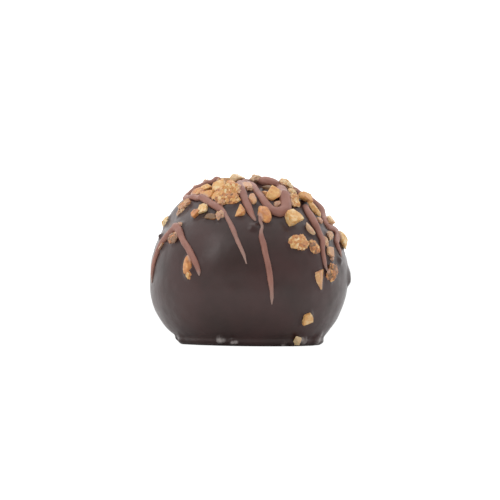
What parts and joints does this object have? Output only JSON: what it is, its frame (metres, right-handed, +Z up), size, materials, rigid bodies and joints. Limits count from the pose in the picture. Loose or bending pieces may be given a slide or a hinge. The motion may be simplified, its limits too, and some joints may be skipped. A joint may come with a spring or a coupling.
{
  "type": "chocolate truffle",
  "caption": "Round dark chocolate truffle on a low set foot, its crown crusted with chopped roasted nuts and striped with a thin milk chocolate drizzle.",
  "frame": {"origin": "middle of the flat base, on the surface that the truffle stands on", "axes": "+Z up through the crown; -Y is the front, where a lone golden nut sits low on the left and a thick run of drizzle hangs right of the middle; +X is to the right seen from the front"},
  "size_m": [0.0351, 0.0343, 0.0291],
  "materials": {
    "coating": "dark coating chocolate, satin, almost black brown",
    "drizzle": "milk chocolate drizzle, set with a soft sheen",
    "nuts": "chopped roasted nuts, golden to orange brown, with a little nut oil on their broken faces"
  },
  "bodies": {
    "root": {"truffle": "coating"}
  },
  "joints": []
}
